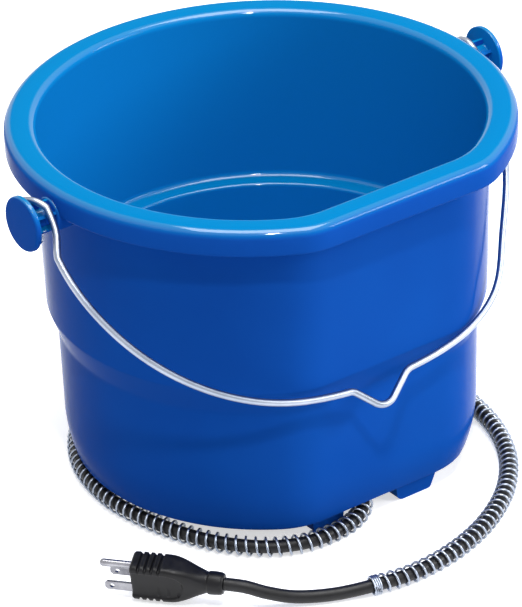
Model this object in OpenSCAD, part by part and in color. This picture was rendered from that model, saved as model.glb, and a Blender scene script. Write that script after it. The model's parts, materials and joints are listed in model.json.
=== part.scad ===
// Heated flat-back bucket with a wire bail and a spring-armoured mains cord.
// The bucket stands on its feet at z = 0 and its flat side faces -Y.

/* [Bucket] */
// Height of the rim above the floor
rim_z = 239; // [230:1:250]
// Outer radius of the rim
rim_r = 157.5; // [153:0.5:159]
// Depth of the rim's outer band
rim_h = 16.5; // [13:0.5:18]
// Rounding of the rim's outer top edge
rim_round = 5; // [3:0.5:6]
// Rounding of the rim's inner top edge
rim_inner_round = 4; // [2:0.5:5]
// Outer radius of the upper wall under the rim
upper_top_r = 140.5; // [139:0.5:143]
// Outer radius of the upper wall at the shoulder
upper_low_r = 138; // [136.5:0.5:139]
// Height of the shoulder's upper edge
shoulder_z = 118; // [110:1:125]
// Height of the shoulder's slope
shoulder_h = 18; // [12:1:24]
// Outer radius of the lower wall under the shoulder
lower_top_r = 131.5; // [131:0.1:133]
// Outer radius of the lower wall where the bottom curve starts
lower_low_r = 130.4; // [130:0.1:131]
// Height where the bottom curve starts
curve_z = 42; // [34:1:50]
// Outer radius of the bottom edge
base_r = 125.7; // [124:0.1:127]
// Height of the bottom edge above the floor
base_z = 14; // [13.5:0.5:16]
// Depth that the flat side takes off the round wall
flat_cut = 13.5; // [11:0.5:15]
// Thickness of the moulded walls
wall = 2.6; // [2.2:0.1:3]
// Distance from the lower wall's outside to the tub's inside, at the ledge
tub_gap = 8; // [7.4:0.1:9.5]
// Draft of the tub from the ledge to its floor
tub_draft = 2; // [1.6:0.1:4]
// Height of the ledge above the shoulder's edge
ledge_rise = 3.5; // [3:0.5:6]
// Height of the tub's floor
floor_z = 48; // [46:1:56]
// Thickness of the tub's floor
floor_t = 3; // [2.5:0.5:4]

/* [Ears] */
// Height of the ear axis below the rim's top
ear_drop = 18; // [17:0.5:22]
// Radius of the ear's hub over its fins
ear_hub_r = 10.7; // [9:0.1:12]
// Radius of the ear's outer disc
ear_disc_r = 17.5; // [16:0.5:18]
// Thickness of the ear's outer disc
ear_disc_t = 3.5; // [3:0.5:5]
// Length of the hub between the boss and the disc
ear_hub_l = 16; // [14:0.5:18]
// Radius of the core between the hub's fins
ear_core_r = 7; // [6:0.5:8]
// Radius of the ear's spigot
ear_spigot_r = 6; // [5:0.5:7]
// Length of the ear's spigot
ear_spigot_l = 12; // [8:1:13]

/* [Bail] */
// Diameter of the bail wire
bail_d = 4; // [3.5:0.1:4.5]
// Gap between the bail's loop and the ear's hub
bail_loop_gap = 0.3; // [0.2:0.05:0.5]
// Gap between the bail's loops and what stops them along the hubs
bail_side_gap = 0.5; // [0.4:0.1:1.5]
// Gap between the resting bail and the wall
bail_rest_gap = 0.6; // [0.5:0.1:1.5]
// Distance from the ear axis to the bail's front bend
bail_reach = 173; // [170:1:182]
// Radius of the bail's side bends
bail_side_r = 144; // [136:1:150]
// Radius of the bail's long front bend
bail_front_r = 250; // [225:1:270]
// Depth of the hanging notch below the front bend
notch_depth = 14; // [10:0.5:16]
// Radius at the bottom of the hanging notch
notch_r = 9; // [7:0.5:11]
// Radius of the notch's shoulders
notch_shoulder_r = 8; // [6:0.5:10]

/* [Base] */
// Height of the base plate's underside
plate_z = 20; // [19.5:0.5:22]
// Thickness of the base plate
plate_t = 3; // [2.5:0.5:3.5]
// Gap between the base plate and the skirt
plate_gap = 0.4; // [0.3:0.1:0.8]
// Width of a foot
foot_w = 27; // [22:1:28]
// Depth of a foot
foot_d = 16; // [12:1:18]
// Rounding of a foot's bottom corners
foot_r = 4; // [2:0.5:5]
// Distance of the front feet from the middle
foot_x = 33.5; // [33:0.5:36]
// Distance of the front feet behind the flat edge
foot_setback = 9; // [8:0.5:14]
// Distance of the rear feet from the middle
rear_foot_x = 66; // [62:1:70]
// Distance of the rear feet behind the ear axis
rear_foot_y = 74; // [66:1:76]
// Number of base screws
screw_n = 6; // [4:2:6]
// Radius of the circle of base screws
screw_ring_r = 110; // [106:0.5:112]
// Shank radius of a base screw
screw_r = 1.6; // [1.4:0.1:2]
// Head radius of a base screw
screw_head_r = 3.4; // [3:0.1:4]
// Head height of a base screw
screw_head_h = 2; // [1.6:0.1:2.2]
// Length of a base screw under its head
screw_l = 14; // [10:1:18]
// Radius of a screw boss
boss_r = 5; // [4:0.5:6]

/* [Heater] */
// Radius of the heater plate
heater_r = 96; // [92:1:98]
// Thickness of the heater plate
heater_t = 0.8; // [0.5:0.1:1.5]
// Diameter of the heating cable
cable_d = 3.2; // [2.5:0.1:3.4]
// Inner radius of the heating cable's spiral
cable_in_r = 42; // [38:1:46]
// Outer radius of the heating cable's spiral
cable_out_r = 88; // [80:1:90]
// Number of turns of the heating cable
cable_turns = 4; // [3:1:4]
// Thickness of the insulation pad
pad_t = 11; // [8:0.5:11.5]
// Radius of the insulation pad
pad_r = 100; // [90:1:102]
// Radius of the thermostat's can
thermostat_r = 9; // [8:0.5:10]
// Height of the thermostat's can
thermostat_h = 7; // [6:0.5:7.5]
// Diameter of the inner leads
lead_d = 2.2; // [1.6:0.1:2.4]

/* [Cord] */
// Diameter of the cord
cord_d = 8.2; // [7.6:0.1:8.4]
// Wire diameter of the armour spring
spring_wire_d = 1.5; // [1.2:0.1:1.6]
// Mean radius of the armour spring
spring_r = 5.75; // [5.6:0.05:6]
// Number of curls of the armour spring
spring_curls = 84; // [60:1:90]
// Length of cord between the spring's collar and the plug
bare_l = 92; // [86:1:100]
// Length of the collar
collar_l = 5; // [4:0.5:7]

/* [Plug] */
// Length of the plug's grip
plug_l = 40; // [36:1:44]
// Height of the plug's grip
plug_h = 27; // [25:1:30]
// Thickness of the plug's grip
plug_t = 18; // [18:1:22]
// Length of the plug's neck
neck_l = 16; // [12:1:20]
// Radius of the plug's neck
neck_r = 6.2; // [5.5:0.1:7]
// Spacing of the flat blades
blade_spacing = 12.7; // [12.6:0.1:12.8]
// Width of a flat blade
blade_w = 6.35; // [6.2:0.05:6.5]
// Thickness of a flat blade
blade_t = 1.52; // [1.4:0.02:1.6]
// Length of a flat blade outside the grip
blade_l = 16.5; // [15.9:0.1:18]
// Radius of the earth pin
pin_r = 2.38; // [2.3:0.02:2.5]
// Length of the earth pin outside the grip
pin_l = 20.5; // [20:0.1:21.5]
// Distance of the earth pin from the line of the blades
pin_offset = 11.9; // [11.8:0.1:12]
// Roll of the plug about its own length
plug_roll = 12; // [0:1:15]

/* [Hidden] */
$fn = 96;
eps = 0.01;
far = 400;
small_fn = 48;

// Bucket levels and outlines
lip_z = rim_z - rim_h;
lip_chamfer = 1;
ledge_z = shoulder_z + ledge_rise;
tub_top_r = lower_top_r - tub_gap;
tub_low_r = tub_top_r - tub_draft;
ledge_edge_r = 2;
ledge_fillet = 3;
floor_fillet = 8;
curve_dz = curve_z - base_z;
curve_dr = lower_low_r - base_r;
curve_r = (curve_dz * curve_dz + curve_dr * curve_dr) / (2 * curve_dr);
curve_a = asin(curve_dz / curve_r);
upper_in_top = upper_top_r - wall;
upper_in_low = upper_low_r - wall;
slot_relief = 0.6;
tub_chamfer = 5;

function arc_pts(c, r, a0, a1, n) =
    [for (i = [0:n]) c + r * [cos(a0 + (a1 - a0) * i / n), sin(a0 + (a1 - a0) * i / n)]];
// Outer radius of the bottom curve at a height
function curve_at(z) = lower_low_r - curve_r + sqrt(curve_r * curve_r - (curve_z - z) * (curve_z - z));

outer_wall = concat(
    arc_pts([lower_low_r - curve_r, curve_z], curve_r, -curve_a, 0, 8),
    [[lower_top_r, shoulder_z - shoulder_h], [upper_low_r, shoulder_z], [upper_top_r, lip_z],
     [rim_r - lip_chamfer, lip_z], [rim_r, lip_z + lip_chamfer]],
    arc_pts([rim_r - rim_round, rim_z - rim_round], rim_round, 0, 90, 6));
cavity_wall = concat(
    arc_pts([tub_low_r - floor_fillet, floor_z + floor_fillet], floor_fillet, -90, 0, 5),
    arc_pts([tub_top_r + ledge_edge_r, ledge_z - ledge_edge_r], ledge_edge_r, 180, 90, 4),
    arc_pts([upper_in_low - ledge_fillet, ledge_z + ledge_fillet], ledge_fillet, -90, 0, 4),
    arc_pts([upper_in_top + rim_inner_round, rim_z - rim_inner_round], rim_inner_round, 180, 90, 5),
    [[upper_in_top + rim_inner_round, rim_z + 1]]);
skirt_in_wall = concat(
    [[base_r - wall, base_z - 1]],
    arc_pts([lower_low_r - curve_r, curve_z], curve_r - wall, -curve_a, 0, 8),
    [[lower_top_r - wall, shoulder_z - shoulder_h],
     [upper_in_low - slot_relief, ledge_z - wall]]);
tub_out_wall = [[tub_low_r + wall - tub_chamfer, floor_z - floor_t],
    [tub_low_r + wall, floor_z - floor_t + tub_chamfer],
    [tub_top_r + wall, ledge_z]];

// Ear positions along X
ear_z = rim_z - ear_drop;
boss_proud = 1;
boss_face_x = rim_r + boss_proud;
ear_boss_r = 14;
ear_boss_start_x = upper_in_top + 0.7;
ear_bore_gap = 0.05;
ear_bore_spare = 1;
ear_fin_n = 6;
ear_fin_t = 2;
ear_disc_round = 1.2;

// Bail bends in the bail's own plane, with the first number along X
bail_loop_r = ear_hub_r + bail_loop_gap + bail_d / 2;
bail_leg_x = boss_face_x + ear_hub_l / 2;
// The bail has slid along the hubs to the left ear's disc
bail_shift = bail_side_gap - (ear_hub_l - bail_d) / 2;
bail_front_c = [0, bail_reach - bail_front_r];
bail_side_cx = bail_leg_x - bail_side_r;
bail_side_cy = bail_front_c.y
    + sqrt(pow(bail_front_r - bail_side_r, 2) - bail_side_cx * bail_side_cx);
bail_side_c = [bail_side_cx, bail_side_cy];
bail_side_a = atan2(bail_side_c.y - bail_front_c.y, bail_side_c.x);
bail_loop_turn = 285;
bail_loop_rings = 18;
bail_least_a = 30;
bail_step_a = 0.1;
notch_a = 45;
notch_c = [0, bail_reach + notch_depth - notch_r];
notch_out = notch_c + notch_r * [cos(notch_a), sin(notch_a)];
// The shoulder circle touches the front bend from outside and the notch's slope
shoulder_sum = notch_out.x + notch_out.y + notch_shoulder_r * sqrt(2);
shoulder_reach = bail_front_r + notch_shoulder_r;
shoulder_b = shoulder_sum - bail_front_c.y;
shoulder_cx = (shoulder_b - sqrt(2 * shoulder_reach * shoulder_reach - shoulder_b * shoulder_b)) / 2;
shoulder_c = [shoulder_cx, shoulder_sum - shoulder_cx];
shoulder_a = atan2(shoulder_c.y - bail_front_c.y, shoulder_c.x);
bail_sides = 12;
// Half of the bail from an ear to the notch: along X, away from the ear axis, and beside it
bail_half = [for (p = concat(
    [[bail_leg_x, 0], [bail_leg_x, bail_side_c.y / 2]],
    arc_pts(bail_side_c, bail_side_r, 0, bail_side_a, 18),
    [for (k = [1:3]) arc_pts(bail_front_c, bail_front_r, bail_side_a, shoulder_a, 3)[k]],
    [for (k = [1:4]) arc_pts(shoulder_c, notch_shoulder_r, 180 + shoulder_a, 180 + notch_a, 4)[k]],
    arc_pts(notch_c, notch_r, notch_a, 90, 4))) [p.x, p.y, bail_loop_r]];
bail_loop = [for (k = [0:bail_loop_rings - 1]) let (a = 90 + bail_loop_turn * (1 - k / bail_loop_rings))
    [bail_leg_x, bail_loop_r * cos(a), bail_loop_r * sin(a)]];
bail_right = concat(bail_loop, bail_half);
bail_line = concat(bail_right,
    [for (k = [len(bail_right) - 2:-1:0]) [-bail_right[k].x, bail_right[k].y, bail_right[k].z]]);
// A point of the bail when it hangs at an angle from straight down
function bail_at(q, a) = [q.x + bail_shift, -q.y * sin(a) - q.z * cos(a), ear_z - q.y * cos(a) + q.z * sin(a)];
// The bail rests at the first angle at which all of it is clear of the wall
body_line = [[base_z, base_r], [curve_z, lower_low_r], [shoulder_z - shoulder_h, lower_top_r],
    [shoulder_z, upper_low_r], [lip_z, upper_top_r], [lip_z + eps, rim_r], [rim_z, rim_r]];
function body_gap(p) = let (r = lookup(p.z, body_line)) max(norm([p.x, p.y]) - r, flat_cut - r - p.y);
bail_probe = [for (k = [1:len(bail_half) - 1]) for (f = [0:0.2:1])
    bail_half[k - 1] + f * (bail_half[k] - bail_half[k - 1])];
function bail_gap(a) = min([for (q = bail_probe) for (m = [-1, 1]) body_gap(bail_at([m * q.x, q.y, q.z], a))]);
bail_rest = min([for (a = [bail_least_a:bail_step_a:90]) if (bail_gap(a) >= bail_d / 2 + bail_rest_gap) a]);

// Base plate and its fastenings
plate_top = plate_z + plate_t;
plate_r = curve_at(plate_z) - wall - plate_gap;
chamber_top = floor_z - floor_t;
front_foot_y = -(base_r - flat_cut) + foot_setback + foot_d / 2;
foot_draft = 2;
rear_foot_turn = 42;
block_r = 4;
screw_hole_gap = 0.4;
screw_pilot_gap = 0.05;
screw_drive_r = 1.4;
screw_drive_h = 1.2;
block_w = 30;
block_d = 26;
block_y = -34;
block_low = 1.5;
gland_z = 11;
gland_x = 2;
gland_face_y = block_y - block_d / 2;
gland_collar_r = 6.5;
gland_collar_l = 8;
gland_flange_r = 8.4;
gland_flange_t = 2.5;
gland_l = 24;
gland_tip_r = spring_r + spring_wire_d / 2 + 0.4;
gland_rib_n = 4;
gland_rib_t = 1.2;
gland_bore_gap = 0.15;
wire_way_r = 5;

// Heater stack under the tub's floor
heater_low = chamber_top - heater_t;
cable_z = heater_low - 2.5;
cable_sides = 6;
cable_rings = 24;
pad_hole_r = 8;
thermostat_pos = [0, 16];
thermostat_low = heater_low - 0.1 - thermostat_h;
terminal_w = 4;
terminal_t = 0.8;
terminal_l = 6;
strap_w = 7;
strap_t = 0.8;
strap_foot = 7;
cap_r = 2.2;
cap_l = 11;
lead_z = plate_top + pad_t + 2.5;
lead_step = 2.6;

// Plug placing
plug_turn = -50;
blade_z = -4;
blade_in = 5;
blade_hole_r = 1.6;
blade_hole_back = 4.5;
blade_round = 1.5;
plug_shoulder = 22;
grip_rib_n = 4;
grip_rib_pitch = 4.2;
grip_rib_t = 1.6;
grip_rib_rise = 1.1;
grip_rib_x = 3.5;
grip_rib_inset = 1;
panel_depth = 0.8;
panel_margin = 3.2;
panel_l = 12;
neck_ring_n = 3;
neck_ring_t = 1.4;
neck_ring_pitch = 4;
neck_ring_x = 2;
neck_ring_rise = 0.7;
plug_axis_z = (plug_h / 2 + grip_rib_rise) * cos(plug_roll) + plug_t / 2 * sin(plug_roll);

// Route of the cord's middle line, from the gland to the plug
route = [
    [2, -52, 11], [2, -62, 11], [2, -72, 11], [1.5, -82, 9.5], [-2, -96, 8], [-10, -107, 7],
    [-22, -114, 6.5], [-36, -117, 6.5], [-52, -117, 6.5], [-66, -113.5, 6.5], [-82, -104, 6.5],
    [-99, -85, 6.5], [-112, -60, 6.5], [-121, -28, 6.5], [-124, 4, 6.5], [-117, 42, 6.5],
    [-99, 75, 6.5], [-70, 103, 6.5], [-34, 120, 6.5], [6, 124, 6.5], [46, 115.5, 6.5],
    [80, 95, 6.5], [106, 65, 6.5], [122, 27, 6.5], [126, -13, 6.5], [122, -53, 6.5],
    [113, -88, 6.5], [96, -120, 6.5], [70, -148, 6.5], [37, -169, 6.5], [2, -181, 6.5],
    [-30, -184, 6.5], [-56, -180, 6.6], [-80, -171, 5.4], [-101, -160, 6.5], [-116, -151, 11],
    [-126, -142.5, plug_axis_z - 1], [-135, -133, plug_axis_z]];
route_steps = 8;
plug_pos = route[len(route) - 1] - (plug_l + neck_l) * [cos(plug_turn), sin(plug_turn), 0];
function catmull(a, b, c, d, t) = 0.5 * (2 * b + (c - a) * t + (2 * a - 5 * b + 4 * c - d) * t * t
    + (3 * b - a - 3 * c + d) * t * t * t);
function route_at(i) = i < 0 ? 2 * route[0] - route[1]
    : i >= len(route) ? 2 * route[len(route) - 1] - route[len(route) - 2] : route[i];
route_pts = concat(
    [for (i = [0:len(route) - 2]) for (k = [0:route_steps - 1])
        catmull(route_at(i - 1), route_at(i), route_at(i + 1), route_at(i + 2), k / route_steps)],
    [route[len(route) - 1]]);
route_s = [for (i = 0, s = 0; i < len(route_pts);
    s = s + (i + 1 < len(route_pts) ? norm(route_pts[i + 1] - route_pts[i]) : 0), i = i + 1) s];
cord_l = route_s[len(route_s) - 1];
route_x = [for (i = [0:len(route_s) - 1]) [route_s[i], route_pts[i].x]];
route_y = [for (i = [0:len(route_s) - 1]) [route_s[i], route_pts[i].y]];
route_h = [for (i = [0:len(route_s) - 1]) [route_s[i], route_pts[i].z]];
function on_route(s) = [lookup(s, route_x), lookup(s, route_y), lookup(s, route_h)];
function unit(v) = v / norm(v);
function along(s) = unit(on_route(min(s + 1, cord_l)) - on_route(max(s - 1, 0)));
function aside(t) = unit(cross([0, 0, 1], t));

// Rings of the plain cord: close in the tight bend, wide elsewhere
cord_sides = 8;
cord_end_gap = 0.3;
bend_l = 110;
bend_step = 9;
cord_step = 17;
cord_stations = concat([for (s = [0:bend_step:bend_l]) s],
    [for (s = [bend_l + cord_step:cord_step:cord_l - cord_step / 2]) s], [cord_l - cord_end_gap]);

// Armour spring between the gland's tip and the collar
spring_s0 = gland_l - (gland_face_y - route[0].y) + eps;
spring_s1 = cord_l - bare_l - collar_l;
spring_rings = 8;
spring_sides = 6;
collar_turns = 3;
collar_gap = 0.4;
collar_web = 0.3;
spring_turn_s0 = spring_s0 + spring_wire_d;
spring_turn_s1 = spring_s1 - spring_wire_d;
function curl_pt(s, a) = on_route(s)
    + spring_r * (cos(a) * aside(along(s)) + sin(a) * cross(along(s), aside(along(s))));
function curl_s(k) = spring_turn_s0 + (spring_turn_s1 - spring_turn_s0) * k / (spring_curls * spring_rings);
spring_pts = concat(
    [curl_pt(spring_s0, 0)],
    [for (k = [0:spring_curls * spring_rings]) curl_pt(curl_s(k), 360 * k / spring_rings)],
    [curl_pt(spring_s1, 360 * spring_curls)]);
// Least gap between neighbouring curls, measured between points about one curl apart
spring_gap = min([for (k = [1:len(spring_pts) - spring_rings - 3])
    for (j = [spring_rings - 1:spring_rings + 1]) norm(spring_pts[k] - spring_pts[k + j])]) - spring_wire_d;
echo(cord_length = cord_l, spring_least_gap = spring_gap, bail_rest = bail_rest);

blue = "royalblue";
steel = "silver";
black = "dimgray";

// Moves the bucket's round axis so that the flat side and the round side are equally far from Y = 0
module in_frame() {
    translate([0, -flat_cut / 2, 0])
        children();
}

// A turned solid whose -Y side is cut flat, parallel to its own wall
module d_solid(wall_pts) {
    low = wall_pts[0].y;
    high = wall_pts[len(wall_pts) - 1].y;
    intersection() {
        rotate_extrude()
            polygon(concat([[0, low]], wall_pts, [[0, high]]));
        rotate([90, 0, 90])
            linear_extrude(2 * far, center = true)
                polygon(concat([[far, low]], [for (p = wall_pts) [flat_cut - p.x, p.y]], [[far, high]]));
    }
}

// A block with round upright corners, standing on z = 0
module round_block(w, d, h, r) {
    translate([-w / 2, r - d / 2, 0])
        cube([w, d - 2 * r, h]);
    translate([r - w / 2, -d / 2, 0])
        cube([w - 2 * r, d, h]);
    for (x = [-1, 1], y = [-1, 1])
        translate([x * (w / 2 - r), y * (d / 2 - r), 0])
            cylinder(h, r = r, $fn = small_fn);
}

// One closed tube through a list of points, with flat ends square to its first and last steps
module tube(pts, r, sides) {
    n = len(pts);
    dirs = [for (i = [0:n - 1]) unit(pts[min(i + 1, n - 1)] - pts[max(i - 1, 0)])];
    firsts = [for (i = 0, f = unit(cross(dirs[0], [0.12, 0.31, 0.94])); i < n; i = i + 1,
        f = i < n ? unit(f - (f * dirs[i]) * dirs[i]) : f) f];
    rings = [for (i = [0:n - 1]) for (k = [0:sides - 1])
        pts[i] + r * (cos(360 * k / sides) * firsts[i] + sin(360 * k / sides) * cross(dirs[i], firsts[i]))];
    walls = [for (i = [0:n - 2]) for (k = [0:sides - 1])
        let (a = i * sides + k, b = i * sides + (k + 1) % sides)
        each [[a, a + sides, b], [b, a + sides, b + sides]]];
    starts = [for (k = [1:sides - 2]) [0, k, k + 1]];
    ends = [for (k = [1:sides - 2]) (n - 1) * sides * [1, 1, 1] + [0, k + 1, k]];
    polyhedron(rings, concat(walls, starts, ends));
}

module screw_spots() {
    for (i = [0:screw_n - 1])
        rotate(360 * i / screw_n)
            translate([screw_ring_r, 0, 0])
                children();
}

module ear_spots(sides) {
    for (side = sides)
        translate([0, 0, ear_z])
            rotate([0, side * 90, 0])
                children();
}

module bucket_shell() {
    in_frame() color(blue)
    difference() {
        union() {
            difference() {
                d_solid(outer_wall);
                difference() {
                    d_solid(skirt_in_wall);
                    d_solid(tub_out_wall);
                }
                d_solid(cavity_wall);
            }
            ear_spots([-1, 1])
                translate([0, 0, ear_boss_start_x])
                    cylinder(boss_face_x - ear_boss_start_x, r = ear_boss_r);
            screw_spots()
                translate([0, 0, plate_top])
                    cylinder(chamber_top - plate_top + floor_t / 2, r = boss_r, $fn = small_fn);
        }
        ear_spots([-1, 1])
            translate([0, 0, boss_face_x - ear_spigot_l - ear_bore_spare])
                cylinder(ear_spigot_l + 2 * ear_bore_spare, r = ear_spigot_r + ear_bore_gap);
        screw_spots()
            translate([0, 0, plate_top - eps])
                cylinder(screw_l, r = screw_r + screw_pilot_gap, $fn = small_fn);
    }
}

// Core with fins along it, whose round tips carry the bail's loop
module ear_hub() {
    cylinder(ear_hub_l + eps, r = ear_core_r);
    intersection() {
        cylinder(ear_hub_l + eps, r = ear_hub_r);
        for (i = [0:ear_fin_n - 1])
            rotate(360 * i / ear_fin_n)
                translate([0, -ear_fin_t / 2, 0])
                    cube([ear_hub_r + 1, ear_fin_t, ear_hub_l + eps]);
    }
}

module ear(side) {
    in_frame() color(blue)
    ear_spots([side]) {
        translate([0, 0, boss_face_x - ear_spigot_l])
            cylinder(ear_spigot_l + eps, r = ear_spigot_r);
        translate([0, 0, boss_face_x])
            ear_hub();
        translate([0, 0, boss_face_x + ear_hub_l])
            rotate_extrude()
                polygon([[0, 0], [ear_disc_r, 0], [ear_disc_r, ear_disc_t - ear_disc_round],
                    [ear_disc_r - ear_disc_round, ear_disc_t], [0, ear_disc_t]]);
    }
}

module left_ear() {
    ear(-1);
}

module right_ear() {
    ear(1);
}

module bail() {
    in_frame() color(steel)
    tube([for (q = bail_line) bail_at(q, bail_rest)], bail_d / 2, bail_sides);
}

module feet() {
    for (x = [-1, 1]) {
        translate([x * foot_x, front_foot_y, 0])
            foot();
        translate([x * rear_foot_x, rear_foot_y, 0])
            rotate(-x * rear_foot_turn)
                foot();
    }
}

module foot() {
    rotate([90, 0, 0])
        linear_extrude(foot_d, center = true)
            polygon(concat([[-foot_w / 2, plate_z + eps]],
                arc_pts([foot_draft + foot_r - foot_w / 2, foot_r], foot_r, 180, 270, 5),
                arc_pts([foot_w / 2 - foot_draft - foot_r, foot_r], foot_r, 270, 360, 5),
                [[foot_w / 2, plate_z + eps]]));
}

module base_plate() {
    in_frame() color(blue)
    difference() {
        union() {
            d_solid([[plate_r, plate_z], [plate_r, plate_top]]);
            feet();
            translate([gland_x, block_y, block_low])
                round_block(block_w, block_d, plate_z - block_low + eps, block_r);
        }
        screw_spots()
            translate([0, 0, plate_z - 1])
                cylinder(plate_t + 2, r = screw_r + screw_hole_gap, $fn = small_fn);
        translate([gland_x, gland_face_y - eps, gland_z])
            rotate([-90, 0, 0])
                cylinder(gland_collar_l + wire_way_r, r = gland_collar_r);
        translate([gland_x, block_y, gland_z])
            cylinder(plate_top - gland_z + 1, r = wire_way_r);
    }
}

module base_screws() {
    in_frame() color(steel)
    screw_spots()
        difference() {
            union() {
                translate([0, 0, plate_z - screw_head_h])
                    cylinder(screw_head_h, r = screw_head_r, $fn = small_fn);
                translate([0, 0, plate_z - eps])
                    cylinder(screw_l, r = screw_r, $fn = small_fn);
            }
            translate([0, 0, plate_z - screw_head_h - eps])
                cylinder(screw_drive_h, r = screw_drive_r, $fn = 6);
        }
}

module heater_plate() {
    in_frame() color(steel)
    translate([0, 0, heater_low])
        cylinder(heater_t, r = heater_r);
}

function cable_pt(k) = let (a = 360 * k / cable_rings,
    r = cable_in_r + (cable_out_r - cable_in_r) * k / (cable_turns * cable_rings))
    [r * cos(a), r * sin(a), cable_z];

module heating_cable() {
    in_frame() color("firebrick")
    tube([for (k = [0:cable_turns * cable_rings]) cable_pt(k)], cable_d / 2, cable_sides);
}

module thermostat() {
    in_frame() color(black)
    translate([thermostat_pos.x, thermostat_pos.y, thermostat_low]) {
        cylinder(thermostat_h, r = thermostat_r);
        for (x = [-1, 1])
            translate([x * (thermostat_r + terminal_l / 2 - 1), 0, thermostat_h / 2])
                cube([terminal_l + 2, terminal_w, terminal_t], center = true);
    }
}

module thermostat_strap() {
    in_frame() color(steel)
    translate([thermostat_pos.x, thermostat_pos.y, thermostat_low - strap_t]) {
        translate([-strap_w / 2, -thermostat_r - strap_t, 0])
            cube([strap_w, 2 * (thermostat_r + strap_t), strap_t]);
        for (m = [0, 1])
            mirror([0, m, 0]) {
                translate([-strap_w / 2, thermostat_r + eps, 0])
                    cube([strap_w, strap_t, thermostat_h + strap_t]);
                translate([-strap_w / 2, thermostat_r + eps, thermostat_h])
                    cube([strap_w, strap_foot, strap_t]);
            }
    }
}

module insulation_pad() {
    in_frame() color("gainsboro")
    difference() {
        d_solid([[pad_r, plate_top], [pad_r, plate_top + pad_t]]);
        translate([gland_x, block_y, plate_top - 1])
            cylinder(pad_t + 2, r = pad_hole_r);
    }
}

// A lead that rises through the base plate and runs over the pad to a point
module lead(index, targets) {
    x = gland_x + index * lead_step;
    tube(concat([[x, block_y, plate_z], [x, block_y, plate_top + pad_t - 2], [x, block_y + 1, lead_z - 1.2],
        [x, block_y + 4, lead_z]], targets), lead_d / 2, 6);
}

module line_lead() {
    in_frame() color("black")
    lead(-1, [[-8, -16, lead_z], [-14, 0, lead_z + 1],
        [thermostat_pos.x - thermostat_r - terminal_l - lead_d / 2 - 0.8, thermostat_pos.y, lead_z + 2]]);
}

module neutral_lead() {
    in_frame() color("white")
    lead(1, [[14, -24, lead_z], [30, -24, cable_z - 3], [cable_in_r, -19, cable_z - 1],
        [cable_in_r, -cap_l - 3, cable_z], [cable_in_r, -cap_l - 0.4, cable_z]]);
}

module earth_lead() {
    in_frame() color("green")
    lead(0, [[gland_x - 1, -20, lead_z], [gland_x - 1, -8, heater_low - 4],
        [gland_x - 1, -6, heater_low - 2], [gland_x - 1, -5.5, heater_low - 0.2]]);
}

module heater_lead() {
    in_frame() color("black")
    tube([[thermostat_pos.x + thermostat_r + terminal_l + lead_d / 2 + 0.8, thermostat_pos.y, lead_z + 2],
        [30, 16, lead_z], [60, 15, lead_z], [80, 19, lead_z], [cable_out_r, 19, cable_z - 1],
        [cable_out_r, cap_l + 3, cable_z], [cable_out_r, cap_l + 0.4, cable_z]], lead_d / 2, 6);
}

module crimp_caps() {
    in_frame() color("khaki")
    for (end = [[cable_in_r, -cap_l - 0.2], [cable_out_r, 0.2]])
        translate([end.x, end.y, cable_z])
            rotate([-90, 0, 0])
                cylinder(cap_l, r = cap_r, $fn = small_fn);
}

module cord_gland() {
    in_frame() color(black)
    translate([gland_x, gland_face_y, gland_z])
        rotate([90, 0, 0])
            rotate_extrude()
                difference() {
                    polygon([[0, -gland_collar_l], [gland_collar_r, -gland_collar_l], [gland_collar_r, 0],
                        [gland_flange_r, 0], [gland_flange_r, gland_flange_t],
                        [gland_tip_r, gland_l], [0, gland_l]]);
                    translate([0, gland_face_y - route[0].y - eps])
                        square([cord_d / 2 + gland_bore_gap, gland_l]);
                    for (i = [1:gland_rib_n])
                        translate([gland_tip_r - gland_rib_t / 2, gland_flange_t + i * 4 * gland_rib_t])
                            square([gland_flange_r, gland_rib_t]);
                }
}

module cord() {
    in_frame() color(black)
    tube([for (s = cord_stations) on_route(s)], cord_d / 2, cord_sides);
}

module armour_spring() {
    in_frame() color(steel)
    tube(spring_pts, spring_wire_d / 2, spring_sides);
}

// A crimped collar of close wire turns that ends the armour
module spring_collar() {
    s = spring_s1 + eps;
    t = along(s + collar_l / 2);
    turn_d = collar_l / collar_turns;
    in_frame() color(steel)
    translate(on_route(s))
        rotate([0, acos(t.z), atan2(t.y, t.x)])
            rotate_extrude() {
                translate([cord_d / 2 + collar_gap, 0])
                    square([spring_r + collar_web - cord_d / 2 - collar_gap, collar_l]);
                for (i = [0:collar_turns - 1])
                    translate([spring_r, (i + 0.5) * turn_d])
                        circle(d = turn_d, $fn = small_fn);
            }
}

// Places a piece in the plug's frame: X towards the cord, Z towards the earth pin
module plug_frame() {
    translate(plug_pos)
        rotate([0, 0, plug_turn])
            rotate([plug_roll, 0, 0])
                children();
}

module plug_side() {
    polygon(concat([[0, -plug_h / 2]],
        arc_pts([plug_shoulder, -neck_r], plug_h / 2 - neck_r, -90, -18, 6),
        [[plug_l, -neck_r], [plug_l, neck_r]],
        arc_pts([plug_shoulder, neck_r], plug_h / 2 - neck_r, 18, 90, 6),
        [[0, plug_h / 2]]));
}

module plug_top() {
    polygon([[0, -plug_t / 2], [plug_shoulder, -plug_t / 2], [plug_l, -neck_r],
        [plug_l, neck_r], [plug_shoulder, plug_t / 2], [0, plug_t / 2]]);
}

// The sunk grip panel: square at the blades and round towards the cord
module plug_panel() {
    r = plug_h / 2 - panel_margin;
    translate([panel_margin, -r])
        square([panel_l, 2 * r]);
    translate([panel_margin + panel_l, 0])
        circle(r);
}

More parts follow.
